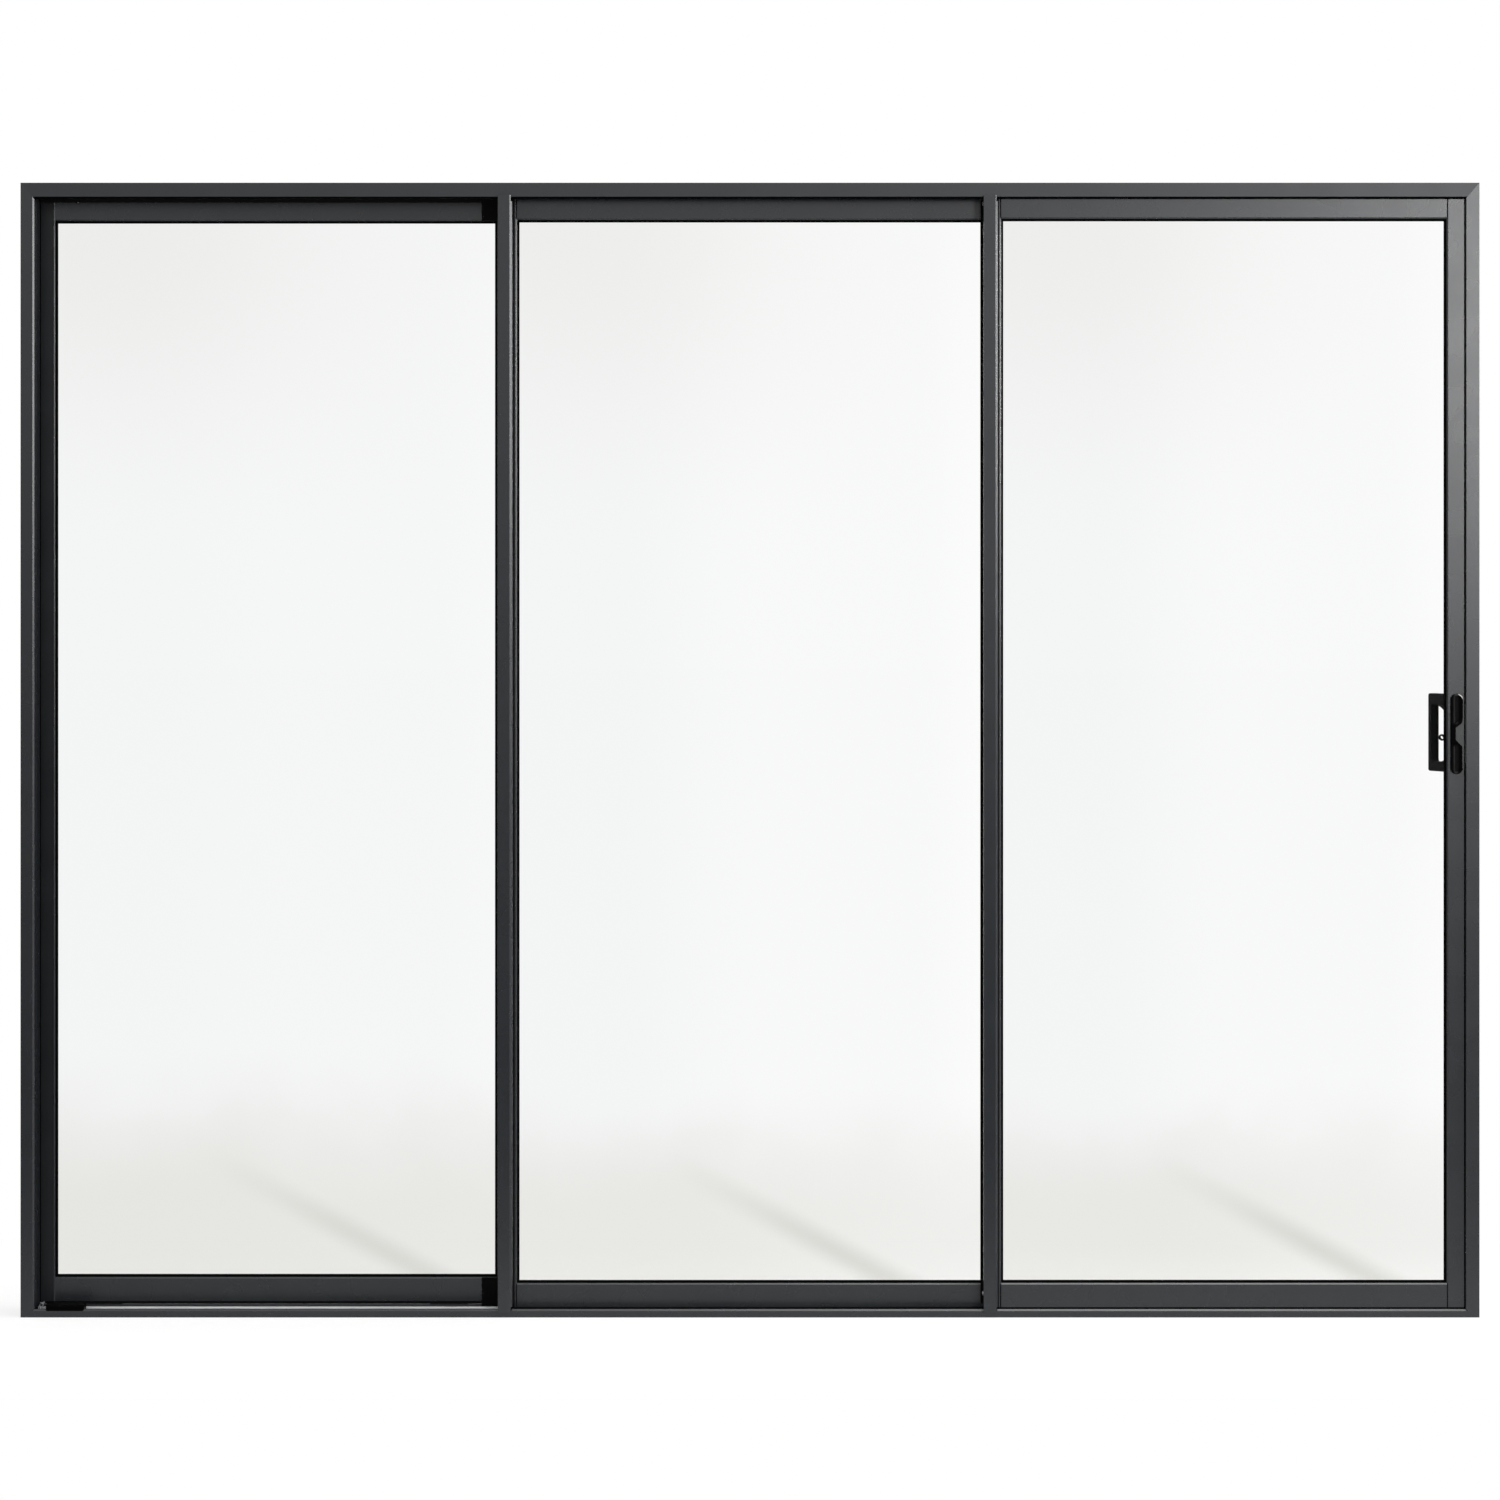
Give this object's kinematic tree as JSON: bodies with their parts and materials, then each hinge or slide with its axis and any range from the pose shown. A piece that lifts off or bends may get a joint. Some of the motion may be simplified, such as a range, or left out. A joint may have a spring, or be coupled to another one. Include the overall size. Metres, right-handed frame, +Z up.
{
  "type": "glass sliding patio door",
  "caption": "Charcoal aluminium sliding patio door with a fixed left panel, two panels that slide to the left and a lever-worked lock.",
  "frame": {"origin": "centre of the sill's underside, midway through the frame's depth", "axes": "+X to the right seen from outside, +Y towards the room, +Z up"},
  "size_m": [2.7, 0.117, 2.1],
  "materials": {
    "charcoal_coat": "satin charcoal powder coat on aluminium",
    "glass": "clear toughened float glass",
    "gasket": "matt black extruded rubber",
    "track_steel": "brushed stainless steel",
    "black_moulding": "fine matt black",
    "lock_steel": "zinc-plated steel",
    "nylon": "dark moulded nylon",
    "pile": "dense black woven pile"
  },
  "bodies": {
    "frame": {"sill": "charcoal_coat", "head": "charcoal_coat", "left_jamb": "charcoal_coat", "right_jamb": "charcoal_coat", "front_track": "track_steel", "middle_track": "track_steel", "rear_track": "track_steel", "stop_block": "black_moulding", "keeper": "lock_steel", "jamb_seal": "pile", "left_panel_top_rail": "charcoal_coat", "left_panel_bottom_rail": "charcoal_coat", "left_panel_left_stile": "charcoal_coat", "left_panel_right_stile": "charcoal_coat", "left_panel_glass": "glass", "left_panel_gasket": "gasket", "left_panel_seats": "nylon"},
    "middle_panel": {"middle_panel_top_rail": "charcoal_coat", "middle_panel_bottom_rail": "charcoal_coat", "middle_panel_left_stile": "charcoal_coat", "middle_panel_right_stile": "charcoal_coat", "middle_panel_glass": "glass", "middle_panel_gasket": "gasket", "middle_panel_cover": "charcoal_coat", "middle_panel_carriages": "lock_steel", "middle_panel_wheels": "nylon", "middle_panel_guides": "nylon"},
    "right_panel": {"right_panel_top_rail": "charcoal_coat", "right_panel_bottom_rail": "charcoal_coat", "right_panel_left_stile": "charcoal_coat", "right_panel_right_stile": "charcoal_coat", "right_panel_glass": "glass", "right_panel_gasket": "gasket", "right_panel_cover": "charcoal_coat", "right_panel_carriages": "lock_steel", "right_panel_wheels": "nylon", "right_panel_guides": "nylon", "lock_case": "lock_steel", "outside_pull": "black_moulding", "inside_pull": "black_moulding"},
    "snib": {"snib_lever": "black_moulding"}
  },
  "joints": [
    {"name": "middle_slide", "type": "slide", "parent": "frame", "child": "middle_panel", "axis": [1, 0, 0], "range_m": [-0.762, 0]},
    {"name": "right_slide", "type": "slide", "parent": "middle_panel", "child": "right_panel", "axis": [1, 0, 0], "range_m": [-0.79, 0]},
    {"name": "snib_turn", "type": "hinge", "parent": "right_panel", "child": "snib", "pos_m": [1.3055, -0.0197, 1.08], "axis": [0, 1, 0], "range_deg": [0, 45]}
  ]
}
